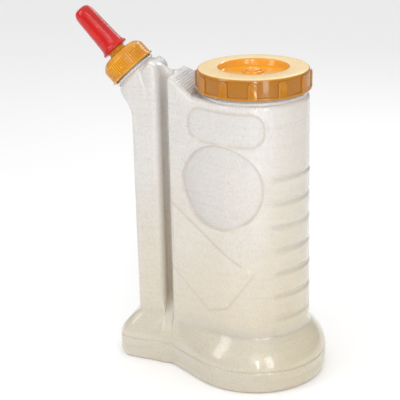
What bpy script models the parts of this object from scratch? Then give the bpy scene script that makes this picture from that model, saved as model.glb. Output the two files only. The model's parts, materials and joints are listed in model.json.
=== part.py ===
"""Calf feeding bottle with a side feed tube.

A one-piece blow-moulded bottle holds the milk in a large chamber. A flat-sided
feed tube stands beside it, joined to it by a pinched web and, at the bottom,
by the hollow foot. A wide screw lid closes the chamber, and a nipple pushed on
a screw collar closes the tube's slanted neck.

Metres, +Z up. The origin is at the middle of the object's box, on the surface
that it stands on. +X runs from the feed tube to the chamber.
"""
import math

import bmesh
import bpy
from mathutils import Matrix, Vector

MM = 0.001

# Places of the two axes
CHAMBER_X = 44.3 * MM            # chamber axis from the middle of the whole box
NECK_TILT = math.radians(43.0)   # feed neck leans back over the tube
NECK_X = -101.0 * MM             # feed neck's datum, measured from the chamber axis
NECK_Z = 251.4 * MM

# Chamber and feed tube, measured from the chamber axis
WALL = 1.9 * MM
CHAMBER_R_LOW = 46.0 * MM
CHAMBER_R_HIGH = 44.6 * MM
CHAMBER_END = -66.0 * MM         # flat end that faces the tube
SIDE_ANGLE = math.radians(22.8)  # the flat sides close in on the tube
TUBE_RIGHT = -75.0 * MM
TUBE_LEFT = -99.6 * MM
TUBE_HALF = 16.0 * MM
WEB_HALF = 2.2 * MM
TUBE_CORNER = 6.0 * MM
CHANNEL_FILLET = 4.2 * MM

# Foot
FOOT_R = 60.0 * MM
FOOT_ANGLE = math.radians(35.0)
FOOT_LEFT = -117.0 * MM
FOOT_HALF_TUBE = 24.6 * MM
FOOT_HALF_END = 21.5 * MM
FOOT_HALF_WEB = 26.4 * MM
FOOT_TOP = 44.0 * MM             # where the flare leaves the wall
RIM_TOP = 19.0 * MM
RIM_LOW = 10.0 * MM
RIM_ROLL = 4.3 * MM              # how far the rim rolls in under the foot
BASE_RING = 7.0 * MM             # width of the flat ring that it stands on
PUSH_UP = 2.5 * MM               # hollow under the base
WEB_FADE_TOP = 62.0 * MM
WEB_FADE_LOW = 26.0 * MM

# Top of the chamber, the thumb rest and the roof of the tube
SHOULDER_Z = 238.0 * MM
REST_LOW_X = -42.3 * MM
REST_TOP_X = -64.0 * MM
REST_TOP_Z = 252.3 * MM
ROOF_LOW_X = -68.0 * MM
ROOF_TOP_X = -83.0 * MM
ROOF_TOP_Z = 260.6 * MM
EDGE_ROUND = 4.5 * MM

# Grip grooves around the chamber's round end
GROOVES = 7
GROOVE_LOW_Z = 59.5 * MM
GROOVE_PITCH = 19.8 * MM
GROOVE_DEPTH = 1.5 * MM
GROOVE_HALF = 2.8 * MM
GROOVE_FULL = math.radians(46.0)
GROOVE_END = math.radians(62.0)

# Lid neck and screw lid, on the chamber axis
LID_PITCH = 5.0 * MM
LID_NECK_R = 40.8 * MM
LID_NECK_BORE = 38.6 * MM
LID_NECK_TOP = 254.7 * MM
LID_NECK_CREST = 42.4 * MM
LID_LOW = 242.0 * MM
LID_TOP = 258.5 * MM
LID_WALL_R = 44.9 * MM
LID_LUG_R = 46.3 * MM
LID_TOP_R = 42.5 * MM
LID_INNER_R = 43.2 * MM
LID_CREST_R = 41.4 * MM
LID_LUGS = 12
LUG_TURN = math.radians(-76.0)   # one lug's direction
WELL_R = 27.5 * MM
WELL_FLOOR = 253.4 * MM
BOSS_R = 8.4 * MM
BOSS_TOP = 255.6 * MM
BOSS_CUP_R = 6.3 * MM
VENT_R = 2.6 * MM

# Feed neck, collar and nipple, along the feed neck's own axis from its datum
COLLAR_PITCH = 4.2 * MM
FEED_NECK_R = 16.4 * MM
FEED_NECK_BORE = 13.8 * MM
FEED_NECK_CREST = 17.6 * MM
FEED_NECK_TOP = 9.6 * MM
FEED_HEAD_R = 19.6 * MM
FEED_HEAD_S = -6.0 * MM
HEAD_START_Z = 212.0 * MM
COLLAR_R = 20.0 * MM
COLLAR_BEAD_R = 20.7 * MM
COLLAR_INNER_R = 18.3 * MM
COLLAR_CREST_R = 17.0 * MM
COLLAR_SIDE_TOP = 12.8 * MM
COLLAR_TOP = 17.6 * MM
COLLAR_INNER_TOP = 11.6 * MM
SEAL_LAND_R = 13.6 * MM          # the washer bears outside this
SPIGOT_R = 7.6 * MM
SPIGOT_BORE = 4.8 * MM
SPIGOT_TOP = 34.0 * MM
NIPPLE_LOW = 21.2 * MM
NIPPLE_TIP = 64.5 * MM
NIPPLE_BORE = 7.8 * MM
NIPPLE_LIP_R = 11.5 * MM

GAP = 0.3 * MM


# ---------------------------------------------------------------- helpers

def clear_scene():
    for obj in list(bpy.data.objects):
        bpy.data.objects.remove(obj, do_unlink=True)


def make_material(name, color, roughness, metallic=0.0):
    mat = bpy.data.materials.new(name)
    mat.use_nodes = True
    shader = mat.node_tree.nodes["Principled BSDF"]
    shader.inputs["Base Color"].default_value = (*color, 1.0)
    shader.inputs["Roughness"].default_value = roughness
    shader.inputs["Metallic"].default_value = metallic
    return mat


def make_object(name, bm):
    bmesh.ops.recalc_face_normals(bm, faces=bm.faces)
    mesh = bpy.data.meshes.new(name)
    bm.to_mesh(mesh)
    bm.free()
    obj = bpy.data.objects.new(name, mesh)
    bpy.context.scene.collection.objects.link(obj)
    return obj


def loft(name, rings, cap=None):
    """Skin closed rings of equal length; cap(bm, ring) closes each end."""
    bm = bmesh.new()
    loops = [[bm.verts.new(point) for point in ring] for ring in rings]
    count = len(loops[0])
    for low, high in zip(loops, loops[1:]):
        for i in range(count):
            j = (i + 1) % count
            bm.faces.new((low[i], low[j], high[j], high[i]))
    close = cap or (lambda mesh, loop: mesh.faces.new(loop))
    close(bm, loops[0])
    close(bm, loops[-1])
    return make_object(name, bm)


def strip_cap(bm, loop):
    """Close a ring that mirrors about its first and middle points.

    The strips run along Y. Points of one half that share an x form a step in
    the ring's width, and all belong to the strip on the step's wide side.
    """
    count = len(loop)
    half = loop[:count // 2 + 1]
    steps = [[half[0]]]
    for vert in half[1:]:
        if abs(vert.co.x - steps[-1][-1].co.x) < 0.000002:
            steps[-1].append(vert)
        else:
            steps.append([vert])
    mirror = {vert: loop[-i] for i, vert in enumerate(loop)}
    for k, (near, far) in enumerate(zip(steps, steps[1:])):
        widens = abs(near[-1].co.y) > abs(near[0].co.y)
        start = near if widens else near[-1:]
        narrows = abs(far[-1].co.y) < abs(far[0].co.y)
        end = far if narrows else far[:1]
        side = start + end
        other = [mirror[vert] for vert in reversed(side) if mirror[vert] is not vert]
        bm.faces.new(side + other)


def revolve(name, profile, segments):
    """Spin a closed profile of (radius, height) points, none on the axis."""
    bm = bmesh.new()
    verts = [bm.verts.new((r, 0.0, z)) for r, z in profile]
    edges = [bm.edges.new((a, b)) for a, b in zip(verts, verts[1:] + verts[:1])]
    bmesh.ops.spin(bm, geom=verts + edges, cent=(0, 0, 0), axis=(0, 0, 1),
                   angle=2 * math.pi, steps=segments, use_merge=True)
    bmesh.ops.remove_doubles(bm, verts=bm.verts, dist=0.000001)
    return make_object(name, bm)


def turned(name, profile, segments):
    """Spin an open profile whose two ends lie on the axis."""
    bm = bmesh.new()
    verts = [bm.verts.new((r, 0.0, z)) for r, z in profile]
    edges = [bm.edges.new(pair) for pair in zip(verts, verts[1:])]
    bmesh.ops.spin(bm, geom=verts + edges, cent=(0, 0, 0), axis=(0, 0, 1),
                   angle=2 * math.pi, steps=segments, use_merge=True)
    bmesh.ops.remove_doubles(bm, verts=bm.verts, dist=0.000001)
    return make_object(name, bm)


def helix(name, root, crest, start, pitch, turns, phase, steps_per_turn=20):
    """One screw thread with run-out ends; root is buried in its wall."""
    steps = int(turns * steps_per_turn)
    rings = []
    for k in range(steps + 1):
        along = k / steps
        fade = min(1.0, 9.0 * along, 9.0 * (1.0 - along))
        tip = root + (crest - root) * (0.25 + 0.75 * fade)
        angle = phase + along * turns * 2 * math.pi
        z = start + along * turns * pitch
        half_root, half_tip = 1.1 * MM, 0.45 * MM
        section = ((root, -half_root), (tip, -half_tip), (tip, half_tip), (root, half_root))
        rings.append([(r * math.cos(angle), r * math.sin(angle), z + dz) for r, dz in section])
    return loft(name, rings)


def boolean(target, tool, operation):
    """Join or cut target with tool, and drop the tool."""
    mod = target.modifiers.new(operation.lower(), "BOOLEAN")
    mod.operation = operation
    mod.solver = "EXACT"
    mod.object = tool
    graph = bpy.context.evaluated_depsgraph_get()
    mesh = bpy.data.meshes.new_from_object(target.evaluated_get(graph))
    target.modifiers.remove(mod)
    old = target.data
    target.data = mesh
    bpy.data.meshes.remove(old)
    bpy.data.objects.remove(tool, do_unlink=True)


def move_mesh(obj, matrix):
    obj.data.transform(matrix)
    return obj


def finish(obj, origin, material, smooth_angle=35.0):
    """Put the object's origin at a point, with its mesh left in place."""
    obj.data.transform(Matrix.Translation(-Vector(origin)))
    obj.location = origin
    obj.data.materials.clear()
    obj.data.materials.append(material)
    obj.data.shade_smooth()
    obj.data.set_sharp_from_angle(angle=math.radians(smooth_angle))
    return obj


def smoothstep(low, high, value):
    t = min(1.0, max(0.0, (value - low) / (high - low)))
    return t * t * (3.0 - 2.0 * t)


def mix(a, b, t):
    return a + (b - a) * t


def feed_axis():
    """From the feed neck's own frame, +Z along its axis, to the world."""
    place = Matrix.Translation((CHAMBER_X + NECK_X, 0.0, NECK_Z))
    return place @ Matrix.Rotation(-NECK_TILT, 4, "Y")


# ---------------------------------------------------------------- bottle outline

def flare(z):
    """0 on the wall, 1 at the foot's rim: a short fillet, then a bell curve."""
    u = min(1.0, max(0.0, (FOOT_TOP - z) / (FOOT_TOP - RIM_TOP)))
    return math.sin(0.5 * math.pi * u) * (u / (u + 0.05)) * 1.05


def groove(z, angle):
    """Depth of the grip grooves at a height and direction."""
    side = 1.0 - smoothstep(GROOVE_FULL, GROOVE_END, abs(angle))
    depth = 0.0
    for k in range(GROOVES):
        off = abs(z - GROOVE_LOW_Z - k * GROOVE_PITCH) / GROOVE_HALF
        if off < 1.0:
            depth = GROOVE_DEPTH * (1.0 - off * off)
    return depth * side


def round_corner(before, corner, after, radius, steps=2):
    """Points of the arc that rounds one corner of an outline."""
    d_in, d_out = corner - before, after - corner
    turn = max(0.02, d_in.angle(d_out))
    room = 0.46 * min(d_in.length, d_out.length)
    reach = max(0.1 * room, min(room, radius * math.tan(turn / 2)))
    first = corner - d_in.normalized() * reach
    last = corner + d_out.normalized() * reach
    weight = math.cos(turn / 2)
    points = []
    for k in range(steps + 1):
        t = k / steps
        a, b, c = (1 - t) ** 2, 2 * t * (1 - t) * weight, t * t
        points.append((first * a + corner * b + last * c) / (a + b + c))
    return points


def split_long(points, longest):
    """Add points on an outline's straight stretches."""
    result = [points[0]]
    for a, b in zip(points, points[1:]):
        parts = math.ceil((b - a).length / longest)
        result += [a.lerp(b, k / parts) for k in range(1, parts + 1)]
    return result


def mirror_outline(half):
    """A whole outline from its front half, whose two ends lie on y = 0."""
    return half + [Vector((p.x, -p.y)) for p in reversed(half[1:-1])]


def arc_points(radius, angle_end, z, steps, grooved):
    points = []
    for k in range(steps + 1):
        angle = -angle_end * k / steps
        r = radius - (groove(z, angle) if grooved else 0.0)
        points.append(Vector((r * math.cos(angle), r * math.sin(angle))))
    return points


def chamber_radius(z):
    high = min(1.0, max(0.0, (z - FOOT_TOP) / (SHOULDER_Z - FOOT_TOP)))
    return mix(CHAMBER_R_LOW, CHAMBER_R_HIGH, high)


def side_corner(radius, angle, end_x):
    """Where the flat side meets the end face."""
    run = (-radius * math.sin(angle) - end_x) / math.cos(angle)
    return Vector((end_x, -radius * math.cos(angle) + run * math.sin(angle)))


def bottle_outline(z, inset=0.0, steps=17):
    """Chamber, web and tube in one outline, seen from above."""
    f = flare(z)
    web = 1.0 - smoothstep(WEB_FADE_LOW, WEB_FADE_TOP, z)
    radius = mix(chamber_radius(z), FOOT_R, f) - inset
    angle = mix(SIDE_ANGLE, FOOT_ANGLE, f)
    end_x = CHAMBER_END + inset * (1.0 - 0.6 * web)
    web_half = mix(WEB_HALF, FOOT_HALF_WEB, web)
    web_half -= min(inset, 0.7 * web_half)
    right_x = mix(TUBE_RIGHT, TUBE_RIGHT - 10.0 * MM, f) - inset * (1.0 - web)
    left_x = mix(TUBE_LEFT, FOOT_LEFT, f) + inset
    half_right = mix(TUBE_HALF, FOOT_HALF_TUBE, f) - inset
    half_left = mix(TUBE_HALF, FOOT_HALF_END, f) - inset
    side = side_corner(radius, angle, end_x)
    corners = [
        (side, max(0.5 * MM, mix(5.0 * MM, 14.0 * MM, f) - inset)),
        (Vector((end_x - 2.0 * MM * web, -web_half)), CHANNEL_FILLET + inset),
        (Vector((TUBE_RIGHT - inset * (1.0 - web), -web_half)), CHANNEL_FILLET + inset),
        (Vector((right_x, -half_right)), max(0.5 * MM, TUBE_CORNER - inset)),
        (Vector((left_x, -half_left)), max(0.5 * MM, mix(TUBE_CORNER, 19.0 * MM, f) - inset)),
    ]
    half = arc_points(radius, math.pi / 2 + angle, z, steps, True)
    half.append(side_corner(radius, angle, REST_LOW_X))
    path = [half[-1]] + [c for c, _ in corners] + [Vector((left_x, 0.0))]
    for k, (corner, rounding) in enumerate(corners):
        half += round_corner(path[k], corner, path[k + 2], rounding)
        if k == 3:
            half.append(half[-1].lerp(corners[4][0], (half[-1].x - ROOF_TOP_X) / (half[-1].x - left_x)))
    half.append(Vector((left_x, 0.0)))
    return mirror_outline(half)


def top_height(x):
    """Height of the bottle's top over the chamber, thumb rest and tube roof."""
    stops = [(REST_LOW_X, SHOULDER_Z), (REST_TOP_X, REST_TOP_Z), (ROOF_LOW_X, REST_TOP_Z),
             (ROOF_TOP_X, ROOF_TOP_Z)]
    if x >= stops[0][0]:
        return SHOULDER_Z
    for (x0, z0), (x1, z1) in zip(stops, stops[1:]):
        if x >= x1:
            return mix(z0, z1, (x - x0) / (x1 - x0))
    return ROOF_TOP_Z + (x - ROOF_TOP_X) * math.tan(NECK_TILT)


def place(points, heights):
    return [(p.x + CHAMBER_X, p.y, h) for p, h in zip(points, heights)]


def level(outline, z):
    return place(outline, [z] * len(outline))


def draped(outline, drop):
    return place(outline, [top_height(p.x) - drop for p in outline])


def groove_levels():
    levels = []
    for k in range(GROOVES):
        middle = GROOVE_LOW_Z + k * GROOVE_PITCH
        levels += [middle - GROOVE_HALF, middle, middle + GROOVE_HALF]
    return levels


def outer_shell():
    rings = []
    inner = RIM_ROLL + BASE_RING
    rings.append(level(bottle_outline(0.0, inner + 3.0 * MM), PUSH_UP))
    rings.append(level(bottle_outline(0.0, inner), 0.0))
    rings.append(level(bottle_outline(0.0, RIM_ROLL), 0.0))
    for part in (0.35, 0.75, 1.0):
        z = RIM_LOW * part * part
        rings.append(level(bottle_outline(0.0, RIM_ROLL * (1.0 - math.sin(0.5 * math.pi * part))), z))
    for z in (RIM_TOP, 24 * MM, 29 * MM, 34 * MM, 38 * MM, 41.5 * MM, FOOT_TOP, 50 * MM):
        rings.append(level(bottle_outline(z), z))
    for z in groove_levels() + [198 * MM, 216 * MM]:
        rings.append(level(bottle_outline(z), z))
    for turn in (0.0, 30.0, 60.0, 90.0):
        a = math.radians(turn)
        outline = bottle_outline(SHOULDER_Z, EDGE_ROUND * (1.0 - math.cos(a)))
        rings.append(draped(outline, EDGE_ROUND * (1.0 - math.sin(a))))
    return loft("bottle", rings, strip_cap)


def chamber_outline(z, inset, steps=14):
    """The chamber alone, closed by its flat end."""
    radius = chamber_radius(z) - inset
    end_x = CHAMBER_END + inset
    half = arc_points(radius, math.pi / 2 + SIDE_ANGLE, z, steps, False)
    half.append(side_corner(radius, SIDE_ANGLE, REST_LOW_X - inset))
    corner = side_corner(radius, SIDE_ANGLE, end_x)
    half += round_corner(half[-1], corner, Vector((end_x, 0.0)), 3.5 * MM)
    half.append(Vector((end_x, 0.0)))
    return mirror_outline(half)


def tube_outline(inset):
    """The feed tube alone."""
    right_x, left_x, half_y = TUBE_RIGHT - inset, TUBE_LEFT + inset, TUBE_HALF - inset
    half = [Vector((right_x, 0.0))]
    corners = [Vector((right_x, -half_y)), Vector((left_x, -half_y))]
    path = [half[0]] + corners + [Vector((left_x, 0.0))]
    for k, corner in enumerate(corners):
        half += round_corner(path[k], corner, path[k + 2], TUBE_CORNER - inset)
    half.append(Vector((left_x, 0.0)))
    return mirror_outline(split_long(half, 5.0 * MM))


def foot_hollow():
    rings = []
    floor = PUSH_UP + WALL
    rings.append(level(bottle_outline(0.0, RIM_ROLL + 8.0 * MM, 14), floor))
    rings.append(level(bottle_outline(0.0, RIM_ROLL + 1.0 * MM, 14), floor + 2.0 * MM))
    for z in (RIM_LOW, RIM_TOP - 1.0 * MM, 25 * MM, 31 * MM, 36 * MM, 41 * MM, 52 * MM):
        rings.append(level(bottle_outline(z + 0.8 * MM, WALL, 14), z))
    return loft("foot_hollow", rings, strip_cap)


def chamber_hollow():
    inset = WALL + GROOVE_DEPTH
    rings = [level(chamber_outline(z, inset), z) for z in (47 * MM, 120 * MM)]
    for turn in (0.0, 45.0, 90.0):
        a = math.radians(turn)
        outline = chamber_outline(SHOULDER_Z, inset + 3.0 * MM * (1.0 - math.cos(a)))
        rings.append(draped(outline, WALL + 3.0 * MM * (1.0 - math.sin(a))))
    return loft("chamber_hollow", rings, strip_cap)


def tube_hollow():
    section = tube_outline(WALL + 0.25 * MM)
    rings = [level(section, z) for z in (47 * MM, 200 * MM)]
    rings.append(draped(section, 3.0 * MM))
    return loft("tube_hollow", rings, strip_cap)


def head_rings(inset, end_s):
    """From just inside the tube's section to a tilted circle under the feed neck."""
    section = tube_outline(inset + 0.4 * MM)
    start = [Vector((p.x + CHAMBER_X, p.y, HEAD_START_Z)) for p in section]
    radius = FEED_HEAD_R - inset
    middle_x = 0.5 * (TUBE_LEFT + TUBE_RIGHT)
    frame = feed_axis()
    end = []
    for p in section:
        angle = math.atan2(p.y, p.x - middle_x)
        end.append(frame @ Vector((radius * math.cos(angle), radius * math.sin(angle), end_s)))
    return [[a.lerp(b, t) for a, b in zip(start, end)] for t in (0.0, 0.33, 0.67, 1.0)]


def lid_neck():
    """The lid's neck as a solid plug; the mouth is cut through it later."""
    profile = [(0.0, SHOULDER_Z - 1.5 * MM), (LID_NECK_R + 1.6 * MM, SHOULDER_Z - 1.5 * MM),
               (LID_NECK_R + 1.6 * MM, SHOULDER_Z + 1.2 * MM), (LID_NECK_R, SHOULDER_Z + 2.8 * MM),
               (LID_NECK_R, LID_NECK_TOP - 0.8 * MM), (LID_NECK_R - 0.8 * MM, LID_NECK_TOP),
               (0.0, LID_NECK_TOP)]
    neck = turned("lid_neck", profile, 48)
    thread = helix("lid_neck_thread", LID_NECK_R - 0.5 * MM, LID_NECK_CREST, 245.6 * MM, LID_PITCH, 1.14, 0.03)
    boolean(neck, thread, "UNION")
    return move_mesh(neck, Matrix.Translation((CHAMBER_X, 0, 0)))


def feed_neck():
    """The feed neck as a solid plug; its spout is cut through it later."""
    profile = [(0.0, FEED_HEAD_S - 1.5 * MM), (FEED_HEAD_R - 1.0 * MM, FEED_HEAD_S - 1.5 * MM),
               (FEED_HEAD_R - 0.4 * MM, FEED_HEAD_S + 0.6 * MM), (18.3 * MM, FEED_HEAD_S + 1.8 * MM),
               (17.4 * MM, -3.4 * MM), (18.9 * MM, -2.6 * MM), (18.9 * MM, -1.4 * MM),
               (17.4 * MM, -0.6 * MM), (FEED_NECK_R, 0.4 * MM), (FEED_NECK_R, FEED_NECK_TOP - 0.7 * MM),
               (FEED_NECK_R - 0.7 * MM, FEED_NECK_TOP), (0.0, FEED_NECK_TOP)]
    neck = turned("feed_neck", profile, 32)
    thread = helix("feed_neck_thread", FEED_NECK_R - 0.5 * MM, FEED_NECK_CREST, 2.6 * MM, COLLAR_PITCH, 1.2, -2.05)
    boolean(neck, thread, "UNION")
    return move_mesh(neck, feed_axis())


def bore_tool(name, radius, low, high, segments, matrix):
    profile = [(0.0, low), (radius, low), (radius, high), (0.0, high)]
    return move_mesh(turned(name, profile, segments), matrix)


def build_bottle(material):
    bottle = outer_shell()
    boolean(bottle, loft("head", head_rings(0.0, FEED_HEAD_S)), "UNION")
    boolean(bottle, lid_neck(), "UNION")
    boolean(bottle, feed_neck(), "UNION")
    hollow = foot_hollow()
    boolean(hollow, chamber_hollow(), "UNION")
    boolean(hollow, tube_hollow(), "UNION")
    boolean(hollow, loft("head_hollow", head_rings(WALL, FEED_HEAD_S - 2.0 * MM)), "UNION")
    over = Matrix.Translation((CHAMBER_X, 0, 0))
    mouth = bore_tool("mouth", LID_NECK_BORE, SHOULDER_Z - 6 * MM, LID_NECK_TOP + 5 * MM, 48, over)
    boolean(hollow, mouth, "UNION")
    spout = bore_tool("spout", FEED_NECK_BORE, FEED_HEAD_S - 6 * MM, FEED_NECK_TOP + 5 * MM, 32, feed_axis())
    boolean(hollow, spout, "UNION")
    boolean(bottle, hollow, "DIFFERENCE")
    return finish(bottle, (0.0, 0.0, 0.0), material)


# ---------------------------------------------------------------- lid

def lug_ring(radius, proud, z):
    """A round ring with flat-topped lugs that stand proud of it."""
    points = []
    pitch = 2 * math.pi / LID_LUGS
    for k in range(LID_LUGS):
        middle = LUG_TURN + k * pitch
        for off, out in ((-6.0, 0.0), (-4.6, 1.0), (4.6, 1.0), (6.0, 0.0), (15.0, 0.0)):
            angle = middle + math.radians(off)
            r = radius + proud * out
            points.append((r * math.cos(angle), r * math.sin(angle), z))
    return points


def round_ring(radius, z):
    return lug_ring(radius, 0.0, z)


def build_lid(material):
    proud = LID_LUG_R - LID_WALL_R
    outer = [
        round_ring(LID_INNER_R, LID_LOW), round_ring(LID_LUG_R - 0.5 * MM, LID_LOW),
        round_ring(LID_LUG_R, LID_LOW + 0.6 * MM), round_ring(LID_LUG_R, LID_LOW + 1.5 * MM),
        lug_ring(LID_WALL_R, proud, LID_LOW + 2.1 * MM),
        lug_ring(LID_WALL_R, proud, LID_TOP - 3.6 * MM),
        lug_ring(LID_WALL_R - 0.2 * MM, 0.3 * MM, LID_TOP - 2.0 * MM),
        round_ring(LID_WALL_R - 0.9 * MM, LID_TOP - 0.7 * MM), round_ring(LID_TOP_R, LID_TOP),
        round_ring(WELL_R + 1.0 * MM, LID_TOP), round_ring(WELL_R, LID_TOP - 0.9 * MM),
        round_ring(WELL_R - 0.6 * MM, WELL_FLOOR), round_ring(BOSS_R, WELL_FLOOR),
        round_ring(BOSS_R - 0.4 * MM, BOSS_TOP), round_ring(BOSS_CUP_R, BOSS_TOP),
        round_ring(BOSS_CUP_R, BOSS_TOP - 1.2 * MM), round_ring(VENT_R, BOSS_TOP - 1.2 * MM),
        round_ring(VENT_R, WELL_FLOOR - 2.0 * MM), round_ring(WELL_R + 1.2 * MM, WELL_FLOOR - 2.0 * MM),
        round_ring(WELL_R + 1.8 * MM, LID_TOP - 2.1 * MM), round_ring(LID_INNER_R, LID_TOP - 2.1 * MM),
    ]
    bm = bmesh.new()
    loops = [[bm.verts.new(p) for p in ring] for ring in outer]
    count = len(loops[0])
    for a, b in zip(loops, loops[1:] + loops[:1]):
        for i in range(count):
            j = (i + 1) % count
            bm.faces.new((a[i], a[j], b[j], b[i]))
    lid = make_object("screw_lid", bm)
    thread = helix("lid_thread", LID_INNER_R + 0.5 * MM, LID_CREST_R, 243.3 * MM + 0.15 * LID_PITCH,
                   LID_PITCH, 0.95, 0.15 * 2 * math.pi)
    boolean(lid, thread, "UNION")
    move_mesh(lid, Matrix.Translation((CHAMBER_X, 0, 0)))
    return finish(lid, (CHAMBER_X, 0.0, LID_LOW), material)


def build_liner(material):
    low, high = LID_NECK_TOP + GAP, LID_TOP - 2.1 * MM - GAP
    profile = [(LID_NECK_BORE - 0.4 * MM, low), (LID_INNER_R - GAP, low),
               (LID_INNER_R - GAP, high), (LID_NECK_BORE - 0.4 * MM, high)]
    liner = move_mesh(revolve("lid_liner", profile, 48), Matrix.Translation((CHAMBER_X, 0, 0)))
    return finish(liner, (CHAMBER_X, 0.0, low), material)


def build_vent_plug(material):
    """Push-in plug in the lid's centre: a domed cap on a split-free stem."""
    seat = BOSS_TOP - 1.2 * MM + GAP
    cap_r, stem_r = BOSS_CUP_R - 0.5 * MM, VENT_R - 0.25 * MM
    profile = [(0.0, WELL_FLOOR - 3.4 * MM), (stem_r - 0.6 * MM, WELL_FLOOR - 3.4 * MM),
               (stem_r, WELL_FLOOR - 2.4 * MM), (stem_r, seat), (cap_r, seat), (cap_r, seat + 1.6 * MM),
               (cap_r - 0.7 * MM, seat + 2.3 * MM), (2.0 * MM, seat + 2.8 * MM), (0.0, seat + 2.8 * MM)]
    plug = move_mesh(turned("vent_plug", profile, 24), Matrix.Translation((CHAMBER_X, 0, 0)))
    return finish(plug, (CHAMBER_X, 0.0, seat), material)


# ---------------------------------------------------------------- collar and nipple

def build_collar(material):
    profile = [(COLLAR_INNER_R, 0.0), (COLLAR_BEAD_R - 0.4 * MM, 0.0), (COLLAR_BEAD_R, 0.5 * MM),
               (COLLAR_BEAD_R, 1.3 * MM), (COLLAR_R, 1.9 * MM), (COLLAR_R, COLLAR_SIDE_TOP - 1.4 * MM),
               (COLLAR_R - 0.9 * MM, COLLAR_SIDE_TOP), (COLLAR_R - 4.2 * MM, COLLAR_TOP - 1.2 * MM),
               (COLLAR_R - 7.5 * MM, COLLAR_TOP - 0.1 * MM), (SPIGOT_R + 1.6 * MM, COLLAR_TOP),
               (SPIGOT_R, COLLAR_TOP + 1.4 * MM), (SPIGOT_R, SPIGOT_TOP - 1.5 * MM),
               (SPIGOT_R - 0.9 * MM, SPIGOT_TOP), (SPIGOT_BORE, SPIGOT_TOP),
               (SPIGOT_BORE, COLLAR_INNER_TOP + 3.4 * MM), (SEAL_LAND_R - 1.4 * MM, COLLAR_INNER_TOP + 3.4 * MM),
               (SEAL_LAND_R, COLLAR_INNER_TOP + 2.0 * MM), (SEAL_LAND_R, COLLAR_INNER_TOP),
               (COLLAR_INNER_R, COLLAR_INNER_TOP)]
    collar = revolve("nipple_collar", profile, 40)
    thread = helix("collar_thread", COLLAR_INNER_R + 0.5 * MM, COLLAR_CREST_R,
                   1.9 * MM + 0.1 * COLLAR_PITCH, COLLAR_PITCH, 1.0, 0.1 * 2 * math.pi)
    boolean(collar, thread, "UNION")
    move_mesh(collar, feed_axis())
    return finish(collar, feed_axis() @ Vector((0, 0, 0)), material)


def build_washer(material):
    low, high = FEED_NECK_TOP + GAP, COLLAR_INNER_TOP - GAP
    profile = [(FEED_NECK_BORE - 0.5 * MM, low), (COLLAR_INNER_R - GAP, low),
               (COLLAR_INNER_R - GAP, high), (FEED_NECK_BORE - 0.5 * MM, high)]
    washer = move_mesh(revolve("collar_washer", profile, 36), feed_axis())
    return finish(washer, feed_axis() @ Vector((0, 0, low)), material)


def build_nipple(material):
    """Hollow teat: flared lip, tapering barrel, blunt round tip with a small hole."""
    hole = 1.1 * MM
    profile = [(NIPPLE_BORE, NIPPLE_LOW), (NIPPLE_LIP_R - 0.8 * MM, NIPPLE_LOW),
               (NIPPLE_LIP_R, NIPPLE_LOW + 0.8 * MM), (NIPPLE_LIP_R - 0.4 * MM, NIPPLE_LOW + 1.8 * MM),
               (9.9 * MM, NIPPLE_LOW + 3.4 * MM), (9.4 * MM, NIPPLE_LOW + 6.0 * MM),
               (8.2 * MM, NIPPLE_TIP - 7.0 * MM), (7.7 * MM, NIPPLE_TIP - 3.8 * MM),
               (6.4 * MM, NIPPLE_TIP - 1.6 * MM), (4.2 * MM, NIPPLE_TIP - 0.3 * MM), (hole, NIPPLE_TIP),
               (hole, NIPPLE_TIP - 2.0 * MM), (4.6 * MM, NIPPLE_TIP - 2.8 * MM),
               (6.0 * MM, NIPPLE_TIP - 5.4 * MM), (6.8 * MM, SPIGOT_TOP + 4.0 * MM),
               (NIPPLE_BORE, SPIGOT_TOP + 1.0 * MM)]
    nipple = move_mesh(revolve("nipple", profile, 28), feed_axis())
    return finish(nipple, feed_axis() @ Vector((0, 0, NIPPLE_LOW)), material)


def main():
    clear_scene()
    milky = make_material("milky_polyethylene", (0.83, 0.79, 0.70), 0.42)
    amber = make_material("amber_plastic", (0.80, 0.42, 0.06), 0.28)
    gold = make_material("gold_plastic", (0.78, 0.45, 0.08), 0.32)
    red = make_material("red_rubber", (0.72, 0.03, 0.02), 0.35)
    soft = make_material("seal_rubber", (0.78, 0.76, 0.72), 0.7)
    plug = make_material("plug_plastic", (0.86, 0.52, 0.14), 0.25)
    build_bottle(milky)
    build_lid(amber)
    build_liner(soft)
    build_vent_plug(plug)
    build_collar(gold)
    build_washer(soft)
    build_nipple(red)


main()
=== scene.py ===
# %% [markdown]
# # A calf feeding bottle
# A one-piece blow-moulded flask holds the milk. Its round chamber carries a wide amber
# screw lid, and the flat feed tube beside it carries a knurled collar with a red rubber
# teat. The imported model gives every place and size, so it is loaded first.
# %% Load the imported model
import json
import math
import bmesh
import bpy
from mathutils import Matrix, Vector

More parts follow.
